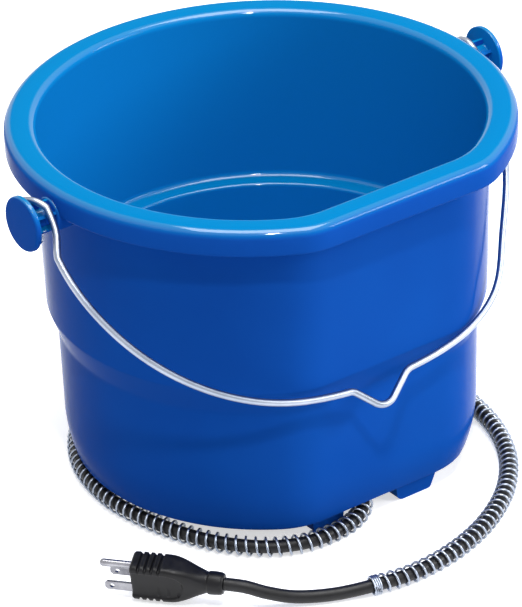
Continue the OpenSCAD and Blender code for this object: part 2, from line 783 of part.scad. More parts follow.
module plug_body() {
    in_frame() color(black)
    plug_frame()
        difference() {
            union() {
                intersection() {
                    rotate([90, 0, 0])
                        linear_extrude(plug_t, center = true)
                            plug_side();
                    linear_extrude(2 * plug_h, center = true)
                        plug_top();
                }
                for (i = [0:grip_rib_n - 1])
                    translate([grip_rib_x + i * grip_rib_pitch, grip_rib_inset - plug_t / 2,
                        -plug_h / 2 - grip_rib_rise])
                        cube([grip_rib_t, plug_t - 2 * grip_rib_inset, plug_h + 2 * grip_rib_rise]);
                translate([plug_l - eps, 0, 0])
                    rotate([0, 90, 0])
                        cylinder(neck_l + eps, r = neck_r);
                for (i = [0:neck_ring_n - 1])
                    translate([plug_l + neck_ring_x + i * neck_ring_pitch, 0, 0])
                        rotate([0, 90, 0])
                            cylinder(neck_ring_t, r = neck_r + neck_ring_rise);
            }
            for (m = [0, 1])
                mirror([0, m, 0])
                    translate([0, plug_t / 2 - panel_depth, 0])
                        rotate([-90, 0, 0])
                            linear_extrude(plug_t)
                                plug_panel();
            plug_slot(1);
            plug_slot(-1);
            pin_hole();
        }
}

module plug_slot(side) {
    translate([-1, side * blade_spacing / 2 - blade_t / 2, blade_z - blade_w / 2])
        cube([blade_in + 1, blade_t, blade_w]);
}

module pin_hole() {
    translate([-1, 0, blade_z + pin_offset])
        rotate([0, 90, 0])
            cylinder(blade_in + 1, r = pin_r);
}

module blade(side) {
    in_frame() color(steel)
    plug_frame()
        translate([0, side * blade_spacing / 2, blade_z])
            rotate([90, 0, 0])
                linear_extrude(blade_t, center = true)
                    difference() {
                        polygon([[blade_in, -blade_w / 2], [blade_in, blade_w / 2],
                            [blade_round - blade_l, blade_w / 2], [-blade_l, blade_w / 2 - blade_round],
                            [-blade_l, blade_round - blade_w / 2], [blade_round - blade_l, -blade_w / 2]]);
                        translate([blade_hole_back - blade_l, 0])
                            circle(blade_hole_r, $fn = small_fn);
                    }
}

module line_blade() {
    blade(-1);
}

module neutral_blade() {
    blade(1);
}

module earth_pin() {
    in_frame() color(steel)
    plug_frame()
        translate([blade_in, 0, blade_z + pin_offset])
            rotate([0, -90, 0]) {
                cylinder(blade_in + pin_l - pin_r, r = pin_r);
                translate([0, 0, blade_in + pin_l - pin_r])
                    sphere(pin_r);
            }
}

bucket_shell();
left_ear();
right_ear();
bail();
base_plate();
base_screws();
heater_plate();
heating_cable();
thermostat();
thermostat_strap();
insulation_pad();
line_lead();
neutral_lead();
earth_lead();
heater_lead();
crimp_caps();
cord_gland();
cord();
armour_spring();
spring_collar();
plug_body();
line_blade();
neutral_blade();
earth_pin();
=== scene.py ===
"""Studio scene of a blue heated flat-back bucket with a wire bail and an armoured mains cord.

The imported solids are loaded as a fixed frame. Round and soft pieces are replaced by smooth meshes
of the same sizes, and every piece gets a procedural material. Lengths in the classes are
millimetres in the bucket's own frame, whose Y = 0 is the bucket's round axis; row() turns them into
the row frame.
"""
import json
import logging
import math
from collections.abc import Callable, Mapping, Sequence
from dataclasses import dataclass
from enum import Enum
from functools import partial
from itertools import accumulate

import bmesh
import bpy
import numpy as np
from bpy.types import Curve, Material, Mesh, Node, NodeSocket, NodeTree, Object, World
from mathutils import Color, Euler, Matrix, Vector

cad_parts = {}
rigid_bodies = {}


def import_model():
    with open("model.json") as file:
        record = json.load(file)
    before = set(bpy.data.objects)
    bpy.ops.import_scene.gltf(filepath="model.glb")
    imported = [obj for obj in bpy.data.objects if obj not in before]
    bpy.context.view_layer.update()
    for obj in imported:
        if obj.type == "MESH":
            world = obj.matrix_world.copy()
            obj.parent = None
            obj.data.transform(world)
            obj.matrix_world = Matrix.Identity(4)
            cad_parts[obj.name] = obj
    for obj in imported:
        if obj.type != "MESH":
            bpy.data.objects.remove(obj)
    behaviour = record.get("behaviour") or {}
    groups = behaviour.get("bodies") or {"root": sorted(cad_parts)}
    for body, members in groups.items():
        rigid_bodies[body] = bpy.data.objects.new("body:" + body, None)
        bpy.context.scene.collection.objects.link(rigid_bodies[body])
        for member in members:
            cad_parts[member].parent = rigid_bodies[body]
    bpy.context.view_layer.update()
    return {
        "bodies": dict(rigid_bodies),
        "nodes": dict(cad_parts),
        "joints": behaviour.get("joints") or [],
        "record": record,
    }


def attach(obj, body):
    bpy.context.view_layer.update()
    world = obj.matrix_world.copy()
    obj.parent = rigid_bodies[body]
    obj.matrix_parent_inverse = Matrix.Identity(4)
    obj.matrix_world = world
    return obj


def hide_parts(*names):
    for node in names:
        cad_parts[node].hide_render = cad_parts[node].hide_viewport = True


LOG = logging.getLogger("heated_bucket")
MM = 0.001
FLAT_CUT = 13.5  # how far the flat side lies inside the round wall
HINGE_Z = 221.0  # height of the bail's axis
EAR_FACE_X = 158.5  # where each ear meets its boss
Point2 = tuple[float, float]
Point3 = tuple[float, float, float]


class Body(str, Enum):
    """CAD bodies that pieces ride on."""

    BUCKET = "bucket"
    BAIL = "bail"


class Slot(str, Enum):
    """Material slots of the record."""

    BLUE = "blue_plastic"
    ZINC = "zinc_wire"
    SCREW = "screw_steel"
    FOIL = "foil_aluminium"
    HEATER = "heater_rubber"
    PHENOLIC = "black_plastic"
    PAD = "pad_fabric"
    RUBBER = "black_rubber"
    WHITE_LEAD = "lead_white"
    GREEN_LEAD = "lead_green"
    CAP = "cap_plastic"
    PLUG = "plug_plastic"
    NICKEL = "blade_nickel"


def row(p: Sequence[float]) -> Vector:
    """Turns a point of the bucket's frame, in millimetres, into the row frame, in metres."""
    return Vector((p[0], p[1] - FLAT_CUT / 2, p[2])) * MM


def linear(hex_colour: str) -> tuple[float, ...]:
    """Returns the linear RGBA of an sRGB colour, #RRGGBB."""
    srgb = Color([byte / 255 for byte in bytes.fromhex(hex_colour[1:])])
    return (*srgb.from_srgb_to_scene_linear(), 1.0)


def add_node(tree: NodeTree, kind: str, inputs: Mapping[str | int, object] | None = None,
             **settings: object) -> Node:
    """Adds a node with its settings and fills its input sockets.

    Args:
        tree: Tree that gets the node.
        kind: Node class name.
        inputs: What goes into each socket, by name or number: a socket or a node's first output
            is linked, a value is set.
        **settings: Properties of the node, such as its operation.

    Returns:
        The new node.
    """
    node = tree.nodes.new(kind)
    for name, value in settings.items():
        setattr(node, name, value)
    for name, value in (inputs or {}).items():
        if isinstance(value, Node):
            value = value.outputs[0]
        if isinstance(value, NodeSocket):
            tree.links.new(value, node.inputs[name])
        else:
            node.inputs[name].default_value = value
    return node


def fresh_tree(owner: Material | World) -> Callable[..., Node]:
    """Empties the node tree of a material or a world.

    Args:
        owner: The material or world.

    Returns:
        Function that adds a node to the tree.
    """
    owner.use_nodes = True
    owner.node_tree.nodes.clear()
    return partial(add_node, owner.node_tree)


@dataclass(frozen=True)
class Finish:
    """One procedural surface: two tints, a roughness span and a fine relief.

    Pattern sizes are real millimetres. The stretch draws the patterns out along an axis.
    """

    name: str
    tints: tuple[str, str]
    roughness: Point2
    mottle_mm: float
    grain_mm: float
    relief_mm: float
    metallic: float = 0.0
    ior: float = 1.5
    specular: float = 0.5
    stretch: Point3 = (1.0, 1.0, 1.0)
    gloss_share: float = 0.37  # size of a patch of gloss against a patch of tint
    noise_span: Point2 = (0.3, 0.7)  # values that the noise keeps to
    tint_stops: Point2 = (0.35, 0.65)

    def material(self) -> Material:
        """Builds the surface: mottled tint, uneven gloss and a fine relief.

        Returns:
            The material.
        """
        material = bpy.data.materials.new(self.name)
        add = fresh_tree(material)
        coords = add("ShaderNodeTexCoord").outputs
        place = add("ShaderNodeMapping", {"Vector": coords["Object"], "Scale": self.stretch})
        patches = ((self.mottle_mm, 3.0), (self.mottle_mm * self.gloss_share, 5.0))
        mottle, gloss, grain = (
            add("ShaderNodeTexNoise", {"Vector": place, "Scale": 1 / (size * MM), "Detail": detail})
            for size, detail in (*patches, (self.grain_mm, 2.0)))
        tint = add("ShaderNodeValToRGB", {"Fac": mottle})
        for stop, colour, at in zip(tint.color_ramp.elements, self.tints, self.tint_stops):
            stop.color, stop.position = linear(colour), at
        rough = add("ShaderNodeMapRange", {
            "Value": gloss, "From Min": self.noise_span[0], "From Max": self.noise_span[1],
            "To Min": self.roughness[0], "To Max": self.roughness[1]})
        bump = add("ShaderNodeBump", {
            "Strength": 1.0, "Distance": self.relief_mm * MM, "Height": grain})
        shader = add("ShaderNodeBsdfPrincipled", {
            "Metallic": self.metallic, "IOR": self.ior, "Specular IOR Level": self.specular,
            "Roughness": rough, "Normal": bump, **self._surface(add, coords, tint)})
        add("ShaderNodeOutputMaterial", {"Surface": shader})
        return material

    def _surface(self, add: Callable[..., Node], coords: Mapping[str, NodeSocket],
                 tint: Node) -> dict[str, object]:
        """Gives the shader its colour, as inputs by socket name."""
        return {"Base Color": tint}


@dataclass(frozen=True, kw_only=True)
class MouldedFinish(Finish):
    """A moulded vessel's surface: painted light on top and inside, and a gloss on rounded edges.

    Over its span one look goes over into the next. The painted top light and the edge go by how far
    the normal points up, the painted inside light by how far it points outward, times the distance
    from the axis in metres.
    """

    gloss_tint: str
    # Painted light: upward faces get a lighter, more cyan tint and inward faces a lighter one.
    painted_lit_top_tint: str
    painted_inside_light_tint: str
    painted_inside_light_span: Point2 = (0.0, -0.05)
    painted_lit_top_span: Point2 = (0.15, 0.95)
    edge_span: Point2 = (0.5, 0.99)
    edge_full: Point2 = (0.68, 0.95)
    coat_roughness: float = 0.07

    def _surface(self, add: Callable[..., Node], coords: Mapping[str, NodeSocket],
                 tint: Node) -> dict[str, object]:
        """Mixes in painted light by where a face looks, and coats the rounded upper edges.

        Args:
            add: Adds a node to the material's tree.
            coords: Outputs of its coordinate node.
            tint: Node of the mottled tint.

        Returns:
            Shader inputs by socket name.
        """
        normal = coords["Normal"]
        level = add("ShaderNodeVectorMath", {0: coords["Object"], 1: (1.0, 1.0, 0.0)},
                    operation="MULTIPLY")
        outward = add("ShaderNodeVectorMath", {0: level, 1: normal},
                      operation="DOT_PRODUCT").outputs["Value"]
        upward = add("ShaderNodeSeparateXYZ", {"Vector": normal}).outputs["Z"]
        colour = tint
        # Painted light: inward faces, then upward faces, get lighter tints in place of the light on
        # them.
        for value, (low, high), other in ((outward, self.painted_inside_light_span, self.painted_inside_light_tint),
                                          (upward, self.painted_lit_top_span, self.painted_lit_top_tint)):
            share = add("ShaderNodeMapRange", {"Value": value, "From Min": low, "From Max": high})
            # Sockets 6 and 7 of a mix node are its two colours, and output 2 is the mixed one.
            colour = add("ShaderNodeMix", {"Factor": share, 6: colour, 7: linear(other)},
                         data_type="RGBA").outputs[2]
        edge = add("ShaderNodeValToRGB", {"Fac": upward})
        stops = edge.color_ramp.elements
        for stop, at in zip(stops, self.edge_span):
            stop.position, stop.color = at, (0.0, 0.0, 0.0, 1.0)
        for at in self.edge_full:
            stops.new(at).color = (1.0, 1.0, 1.0, 1.0)
        return {"Base Color": colour, "Specular Tint": linear(self.gloss_tint),
                "Coat Weight": edge, "Coat Roughness": self.coat_roughness}


# Each row has the name, the tints and the roughness, then mottle, grain and relief in millimetres.
FINISHES: dict[Slot, Finish] = {
    # Injection-moulded polypropylene: a polished mould leaves soft unevenness and bright streaks on
    # rounded edges. Its grain, about 0.1 mm, is drawn at 1.6 mm. The photo's walls mirror no white
    # room, so flats have far less gloss than real ones and edges a coat; the tints are the photo's.
    # The top and inside tints are painted light: faces that point up get a lighter, more cyan tint,
    # and faces inside a lighter one.
    Slot.BLUE: MouldedFinish(
        "polypropylene_blue", ("#1351B1", "#1456B7"), (0.12, 0.18), 90.0, 1.6, 0.006, ior=1.49,
        specular=0.006, gloss_tint="#2FA0E6", painted_lit_top_tint="#0370A6", painted_inside_light_tint="#0A74BA"),
    # Steel wire, drawn through a die and zinc plated: a cool grey, soft shine along the wire. The
    # die's lines are drawn coarser, at 0.5 mm, and the grey darker, as the photo has it.
    Slot.ZINC: Finish(
        "zinc_plated_wire", ("#8E97A6", "#A3ABB9"), (0.27, 0.34), 30.0, 0.5, 0.002, metallic=1.0),
    # Cold-headed steel, plated in a barrel: the tumbling leaves a satin shine with small dents.
    Slot.SCREW: Finish(
        "plated_screw_steel", ("#A5A8AB", "#C2C4C6"), (0.25, 0.40), 6.0, 0.4, 0.008, metallic=1.0),
    # Rolled aluminium sheet: the rolls leave lines one way, which streak a bright, soft shine.
    Slot.FOIL: Finish(
        "rolled_aluminium", ("#C4C7C9", "#DADCDD"), (0.30, 0.48), 30.0, 0.6, 0.010, metallic=1.0,
        stretch=(1.0, 12.0, 1.0)),
    # Extruded silicone: brick red, with the dull, even skin of cured rubber.
    Slot.HEATER: Finish(
        "silicone_jacket", ("#7E2F25", "#96443A"), (0.45, 0.62), 12.0, 0.7, 0.015, ior=1.41),
    # Phenolic pressed in a hot mould: hard and nearly black, with a faint orange peel.
    Slot.PHENOLIC: Finish(
        "phenolic_moulding", ("#17171A", "#232327"), (0.40, 0.55), 10.0, 0.5, 0.012, ior=1.6),
    # Needled glass fibre: a matte, off-white nap. Fibres of 0.01 mm are drawn as 0.6 mm tufts.
    Slot.PAD: Finish(
        "glass_fibre_felt", ("#CFCDC5", "#E2E0DA"), (0.85, 0.95), 6.0, 0.6, 0.25, ior=1.55),
    # Extruded cord rubber: black, with a dull sheen that handling makes uneven.
    Slot.RUBBER: Finish(
        "cord_rubber", ("#0A0A0C", "#131316"), (0.34, 0.48), 9.0, 0.6, 0.015, ior=1.52,
        specular=0.3),
    # Extruded vinyl insulation: an even colour through and through, with a soft shine.
    Slot.WHITE_LEAD: Finish(
        "white_lead_vinyl", ("#D2D0C8", "#E4E2DC"), (0.40, 0.52), 8.0, 0.5, 0.008, ior=1.53),
    # The same vinyl with green pigment, for the earth lead.
    Slot.GREEN_LEAD: Finish(
        "green_lead_vinyl", ("#27703A", "#348447"), (0.40, 0.52), 8.0, 0.5, 0.008, ior=1.53),
    # Moulded nylon left in its own colour: ivory, waxy, with a low shine.
    Slot.CAP: Finish("nylon_cap", ("#C4B27C", "#D6C693"), (0.42, 0.55), 8.0, 0.5, 0.010, ior=1.53),
    # Vinyl moulded over the blades in a spark-eroded mould: black, finely pitted, a broken sheen.
    # The pits, about 0.05 mm, are drawn at 0.45 mm.
    Slot.PLUG: Finish(
        "plug_vinyl", ("#08080A", "#101014"), (0.30, 0.42), 8.0, 0.45, 0.020, ior=1.53,
        specular=0.22),
    # Stamped brass under nickel plate: a close grey shine, darker here to match the photo.
    Slot.NICKEL: Finish(
        "nickel_plate", ("#85858B", "#9C9CA1"), (0.18, 0.30), 7.0, 0.4, 0.005, metallic=1.0),
}


def arc(c: Point2, r: float, a0: float, a1: float, n: int) -> list[Point2]:
    """Returns n + 1 points on an arc of centre c and radius r, from a0 to a1 degrees."""
    angles = [math.radians(a0 + (a1 - a0) * i / n) for i in range(n + 1)]
    return [(c[0] + r * math.cos(a), c[1] + r * math.sin(a)) for a in angles]


def smooth_at(knots: Sequence[Point2], u: float) -> float:
    """Reads a smooth curve through knots.

    Args:
        knots: Places and values, in order.
        u: Place to read.

    Returns:
        The value there.
    """
    inner = [(v2 - v0) / (u2 - u0) for (u0, v0), (u2, v2) in zip(knots, knots[2:])]
    slopes = [0.0, *inner, 0.0]
    k = max(0, min(len(knots) - 2, sum(1 for place, _ in knots if place <= u) - 1))
    (u0, v0), (u1, v1) = knots[k], knots[k + 1]
    w = u1 - u0
    t = min(1.0, max(0.0, (u - u0) / w))
    return ((2 * t ** 3 - 3 * t ** 2 + 1) * v0 + (t ** 3 - 2 * t ** 2 + t) * w * slopes[k]
            + (3 * t ** 2 - 2 * t ** 3) * v1 + (t ** 3 - t ** 2) * w * slopes[k + 1])


def rounded(corners: Sequence[Point3], steps: int = 7) -> list[Point2]:
    """Rounds the inner corners of an open polyline.

    Args:
        corners: Points with the radius of each.
        steps: Steps on each rounding.

    Returns:
        The rounded polyline.
    """
    out: list[Point2] = [corners[0][:2]]
    for before, here, after in zip(corners, corners[1:], corners[2:]):
        p, r = Vector(here[:2]), here[2]
        u = (Vector(before[:2]) - p).normalized()
        v = (Vector(after[:2]) - p).normalized()
        half = math.acos(max(-1.0, min(1.0, u.dot(v)))) / 2
        if r <= 0 or half > math.radians(89.5):  # sharp, or too straight to round
            out.append(here[:2])
            continue
        centre = p + (u + v).normalized() * (r / math.sin(half))
        first, last = (p + way * (r / math.tan(half)) - centre for way in (u, v))
        sweep = first.angle_signed(last)
        for i in range(steps + 1):
            q = centre + Matrix.Rotation(-sweep * i / steps, 2) @ first
            out.append((q.x, q.y))
    out.append(corners[-1][:2])
    return out


def turned(profile: Sequence[Point2], side: int, steps: int = 72) -> list[list[Vector]]:
    """Turns a profile of X and radius about the bail's axis, on side -1 or 1, into rings."""
    angles = [math.tau * side * i / steps for i in range(steps)]
    return [[row((side * x, r * math.cos(a), HINGE_Z + r * math.sin(a))) for a in angles]
            for x, r in profile]


def solid(*skins: Sequence[Sequence[Vector]], extra: Mesh | None = None) -> Mesh:
    """Makes a mesh of skins: rings of points, bridged in order and closed at both ends.

    Args:
        *skins: Closed rings of equally many points, in metres.
        extra: Mesh that joins them, removed here.

    Returns:
        The mesh, with outward normals.
    """
    bm = bmesh.new()
    for rings in skins:
        made = [[bm.verts.new(p) for p in ring] for ring in rings]
        for low, high in zip(made, made[1:]):
            for i in range(len(low)):
                j = (i + 1) % len(low)
                bm.faces.new((low[i], low[j], high[j], high[i]))
        bm.faces.new(list(reversed(made[0])))
        bm.faces.new(made[-1])
    if extra:
        bm.from_mesh(extra)
        bpy.data.meshes.remove(extra)
    bmesh.ops.recalc_face_normals(bm, faces=bm.faces)
    mesh = bpy.data.meshes.new("solid")
    bm.to_mesh(mesh)
    bm.free()
    return mesh


def link(name: str, data: bpy.types.ID) -> Object:
    """Puts a new object into the scene.

    Args:
        name: Object name.
        data: Its mesh, curve, light or camera.

    Returns:
        The object.
    """
    obj = bpy.data.objects.new(name, data)
    bpy.context.scene.collection.objects.link(obj)
    return obj


def path_data(points: Sequence[Sequence[float]]) -> Curve:
    """Makes a plain open curve through points of the bucket's frame.

    Args:
        points: Points in millimetres.

    Returns:
        The curve.
    """
    data = bpy.data.curves.new("path", "CURVE")
    data.dimensions = "3D"
    spline = data.splines.new("POLY")
    spline.points.add(len(points) - 1)
    for point, p in zip(spline.points, points):
        point.co = (*row(p), 1.0)
    return data


class NodeGroup:
    """A geometry node tree with named inputs, which is run to make plain meshes."""

    def __init__(self, name: str, inputs: Sequence[str]) -> None:
        """Makes an empty tree with its inputs.

        Args:
            name: Tree name.
            inputs: Names of its number inputs; a geometry and a material come with them.
        """
        self.tree = bpy.data.node_groups.new(name, "GeometryNodeTree")
        self.add = partial(add_node, self.tree)
        face = self.tree.interface
        kinds = {"Geometry": "Geometry", **dict.fromkeys(inputs, "Float"), "Material": "Material"}
        self.sockets = {
            name: face.new_socket(name, in_out="INPUT", socket_type=f"NodeSocket{kind}").identifier
            for name, kind in kinds.items()}
        face.new_socket("Geometry", in_out="OUTPUT", socket_type="NodeSocketGeometry")
        self.source = self.add("NodeGroupInput").outputs

    def calc(self, operation: str, *values: object) -> Node:
        """Adds a math node that works on values, nodes or sockets."""
        return self.add("ShaderNodeMath", dict(enumerate(values)), operation=operation)

    def close(self, geometry: Node) -> None:
        """Ends the tree in real geometry with its material.

        Args:
            geometry: Node that makes it.
        """
        real = self.add("GeometryNodeRealizeInstances", {"Geometry": geometry})
        paint = self.add("GeometryNodeSetMaterial", {
            "Geometry": real, "Material": self.source["Material"]})
        self.add("NodeGroupOutput", {"Geometry": paint})

    def sweep(self, curve: Node | NodeSocket, sides: int) -> None:
        """Sweeps a round wire along a curve and ends the tree.

        Args:
            curve: Middle line of the wire.
            sides: Points round the wire.
        """
        profile = self.add("GeometryNodeCurvePrimitiveCircle", {
            "Resolution": sides, "Radius": self.source["Wire Radius"]})
        swept = self.add("GeometryNodeCurveToMesh", {
            "Curve": curve, "Profile Curve": profile, "Fill Caps": True})
        self.close(swept)

    def run(self, data: Curve | Mesh, material: Material, **values: float) -> Mesh:
        """Runs the tree and keeps the result as a plain mesh.

        Args:
            data: What the tree starts from, removed here.
            material: Material of the result.
            **values: Named inputs; an underscore stands for a space.

        Returns:
            The mesh in the row frame.
        """
        carrier = link("carrier", data)
        modifier = carrier.modifiers.new("nodes", "NODES")
        modifier.node_group = self.tree
        for key, value in values.items():
            modifier[self.sockets[key.replace("_", " ").title()]] = value
        modifier[self.sockets["Material"]] = material
        graph = bpy.context.evaluated_depsgraph_get()
        mesh = bpy.data.meshes.new_from_object(carrier.evaluated_get(graph), depsgraph=graph)
        bpy.data.batch_remove((carrier, data))
        return mesh


def coil_group(samples: int = 14) -> NodeGroup:
    """Makes the tree that winds a wire round a path.

    Args:
        samples: Points on each turn.

    Returns:
        The tree.
    """
    group = NodeGroup("coil_along_path", ("Wire Radius", "Coil Radius", "Turns"))
    add, source = group.add, group.source
    count = group.calc("MULTIPLY", source["Turns"], samples)
    fine = add("GeometryNodeResampleCurve", {"Curve": source["Geometry"], "Count": count})
    upright = add("GeometryNodeSetCurveNormal", {"Curve": fine}, mode="Z_UP")
    turn = group.calc("MULTIPLY", add("GeometryNodeSplineParameter"), source["Turns"])
    angle = group.calc("MULTIPLY", turn, math.tau)
    normal = add("GeometryNodeInputNormal")
    tangent = add("GeometryNodeInputTangent")
    across = add("ShaderNodeVectorMath", {0: tangent, 1: normal}, operation="CROSS_PRODUCT")
    offsets = []
    for wave, way in (("COSINE", normal), ("SINE", across)):
        reach = group.calc("MULTIPLY", group.calc(wave, angle), source["Coil Radius"])
        offsets.append(add("ShaderNodeVectorMath", {0: way, "Scale": reach}, operation="SCALE"))
    offset = add("ShaderNodeVectorMath", dict(enumerate(offsets)), operation="ADD")
    wound = add("GeometryNodeSetPosition", {"Geometry": upright, "Offset": offset})
    group.sweep(wound, sides=10)
    return group


def fin_group() -> NodeGroup:
    """Makes the tree that sets flat fins round the X axis.

    Returns:
        The tree.
    """
    group = NodeGroup("fins_round_axis", ("Length", "Thickness", "Reach", "Count"))
    add, source = group.add, group.source
    size = add("ShaderNodeCombineXYZ", {
        "X": source["Length"], "Y": source["Thickness"], "Z": source["Reach"]})
    block = add("GeometryNodeMeshCube", {"Size": size})
    lift = add("ShaderNodeCombineXYZ", {"Z": group.calc("MULTIPLY", source["Reach"], 0.5)})
    fin = add("GeometryNodeTransform", {"Geometry": block, "Translation": lift})
    points = add("GeometryNodePoints", {"Count": source["Count"]})
    step = group.calc("DIVIDE", math.tau, source["Count"])
    angle = group.calc("MULTIPLY", add("GeometryNodeInputIndex"), step)
    turn = add("ShaderNodeCombineXYZ", {"X": angle})
    placed = add("GeometryNodeInstanceOnPoints", {
        "Points": points, "Instance": fin, "Rotation": turn})
    group.close(placed)
    return group


class Kit:
    """What the sub-assemblies share: the CAD nodes, the materials and the node trees."""

    def __init__(self, frame: dict) -> None:
        """Makes the materials and the trees.

        Args:
            frame: The loaded frame.
        """
        self.nodes: dict[str, Object] = frame["nodes"]
        self.slots = {p["node"]: Slot(p["material_slot"]) for p in frame["record"]["subparts"]}
        self.materials = {slot: finish.material() for slot, finish in FINISHES.items()}
        self.wire = NodeGroup("wire_along_path", ("Wire Radius",))
        self.wire.sweep(self.wire.source["Geometry"], sides=20)
        self.coil, self.fins = coil_group(), fin_group()

    def dress_nodes(self) -> None:
        """Gives every CAD node its procedural material."""
        for name, obj in self.nodes.items():
            obj.data.materials.clear()
            obj.data.materials.append(self.materials[self.slots[name]])


@dataclass(frozen=True)
class SubAssembly:
    """A group of pieces: it holds its sizes, builds its meshes and dresses them."""

    kit: Kit

    def piece(self, name: str, data: Curve | Mesh, slot: Slot, *nodes: str,
              body: Body = Body.BUCKET, sharp_deg: float = 35.0, tree: NodeGroup | None = None,
              **sizes: float) -> Object:
        """Makes a piece: dresses a mesh or a curve, links it and lets it ride on a body.

        Args:
            name: Piece name.
            data: Mesh or curve in the row frame, in metres.
            slot: Material slot.
            *nodes: CAD nodes that it stands for.
            body: Body it rides on.
            sharp_deg: Edges of a mesh that are sharper than this stay sharp.
            tree: Node tree that makes the mesh from the data.
            **sizes: Named inputs of the tree.

        Returns:
            The new object.
        """
        material = self.kit.materials[slot]
        if tree:
            data = tree.run(data, material, **sizes)
        data.name = name
        data.materials.clear()
        data.materials.append(material)
        if isinstance(data, Mesh):
            data.shade_smooth()
            data.set_sharp_from_angle(angle=math.radians(sharp_deg))
        obj = link(name, data)
        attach(obj, body.value)
        if nodes:
            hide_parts(*nodes)
        return obj


class Route:
    """The cord's middle line: a smooth curve through given points."""

    STEPS = 40

    def __init__(self, points: Sequence[Point3]) -> None:
        """Lays the curve and measures it.

        Args:
            points: Points in millimetres.
        """
        p = np.array(points, float)
        p = np.vstack((2 * p[0] - p[1], p, 2 * p[-1] - p[-2]))
        a, b, c, d = (p[i:len(p) - 3 + i, None] for i in range(4))
        t = (np.arange(self.STEPS) / self.STEPS)[None, :, None]
        line = 0.5 * (2 * b + (c - a) * t + (2 * a - 5 * b + 4 * c - d) * t ** 2
                      + (3 * b - a - 3 * c + d) * t ** 3)
        self.points = np.vstack((line.reshape(-1, 3), p[-2]))
        steps = np.linalg.norm(np.diff(self.points, axis=0), axis=1)
        self.s = np.concatenate(([0.0], np.cumsum(steps)))
        self.length = float(self.s[-1])

    def stretch(self, s0: float, s1: float, step: float) -> np.ndarray:
        """Returns evenly spaced points between two lengths, all in millimetres."""
        s = np.linspace(s0, s1, max(2, math.ceil((s1 - s0) / step)) + 1)
        return np.column_stack([np.interp(s, self.s, axis) for axis in self.points.T])


@dataclass(frozen=True)
class Plug(SubAssembly):
    """The moulded plug: a ribbed grip with sunk side panels that narrows into a stepped neck.

    Lengths run along its axis, from the blade face to the cord.
    """

    origin: Point3 = (-171.0, -90.1, 16.15)
    turn_deg: float = -50.0
    roll_deg: float = 12.0
    length: float = 56.0
    step: float = 0.4
    around: int = 176
    half_h: tuple[Point2, ...] = (
        (0.0, 12.6), (1.0, 13.4), (22.0, 13.5), (28.0, 12.8), (34.0, 10.9), (40.0, 8.3),
        (44.0, 7.0), (46.5, 6.6), (47.2, 7.2), (54.5, 6.9), (56.0, 6.2))
    half_t: tuple[Point2, ...] = (
        (0.0, 8.3), (1.0, 8.9), (22.0, 9.0), (30.0, 8.6), (38.0, 7.4), (44.0, 6.7),
        (46.5, 6.6), (47.2, 7.2), (54.5, 6.9), (56.0, 6.2))
    round_x: float = 46.0  # from here on the section is round
    round_l: float = 20.0  # length over which the box goes over into it
    boxiness: float = 5.0
    rib_n: int = 4
    rib_x: float = 2.2
    rib_pitch: float = 4.2
    rib_depth: float = 1.9
    rib_foot: float = 0.6  # share of the half height where a groove starts
    rib_fade: float = 0.3
    panel_depth: float = 1.4
    panel_half_h: float = 9.8
    panel_bend_x: float = 22.0
    panel_bend_l: float = 11.0
    panel_edge: float = 0.09
    panel_fade: int = 8  # power that keeps the panel to the plug's sides
    dot_z: float = -6.5
    dot_x: tuple[float, ...] = (17.0, 23.0, 29.0)
    dot_r: float = 0.9

    def build(self) -> list[Object]:
        """Moulds the grip along its axis.

        Returns:
            The grip, which replaces the CAD plug body.
        """
        place = (Matrix.Translation(row(self.origin))
                 @ Matrix.Rotation(math.radians(self.turn_deg), 4, "Z")
                 @ Matrix.Rotation(math.radians(self.roll_deg), 4, "X"))
        count = math.ceil(self.length / self.step)
        mesh = solid([[place @ (Vector(p) * MM) for p in self._section(self.length * i / count)]
                      for i in range(count + 1)])
        return [self.piece("plug_grip", mesh, Slot.PLUG, "plug_body", sharp_deg=75)]

    def _section(self, x: float) -> list[Point3]:
        """Outline of the plug at a distance from its blade face.

        Args:
            x: Distance along the axis.

        Returns:
            Points round the axis.
        """
        h, t = smooth_at(self.half_h, x), smooth_at(self.half_t, x)
        box = min(1.0, max(0.0, (self.round_x - x) / self.round_l))
        power = 2 / (2 + self.boxiness * box)
        wave = (x - self.rib_x) / self.rib_pitch
        groove = 0.0
        if 0 < wave < self.rib_n:
            groove = self.rib_depth * max(0.0, math.sin(math.tau * (wave - 0.5))) ** 0.5
        out = []
        for i in range(self.around):
            a = math.tau * i / self.around
            c, s = math.cos(a), math.sin(a)
            y = math.copysign(abs(c) ** power, c) * t
            z = math.copysign(abs(s) ** power, s)
            z *= h - groove * min(1.0, max(0.0, (abs(z) - self.rib_foot) / self.rib_fade))
            sunk = self._sunk(x, z) * min(1.0, abs(y) / t) ** self.panel_fade
            out.append((x, y - math.copysign(sunk, y), z))
        return out

    def _sunk(self, x: float, z: float) -> float:
        """Depth of the side panel at a point of the grip's side.

        Args:
            x: Distance along the axis.
            z: Height over the axis.

        Returns:
            Depth below the grip's side; a dot takes it back.
        """
        bend = max(0.0, x - self.panel_bend_x) / self.panel_bend_l
        inset = 1 - math.hypot(bend, z / self.panel_half_h)
        depth = self.panel_depth * min(1.0, max(0.0, inset / self.panel_edge))
        near = min(math.hypot(x - d, z - self.dot_z) for d in self.dot_x)
        return depth - self.panel_depth * (near < self.dot_r)


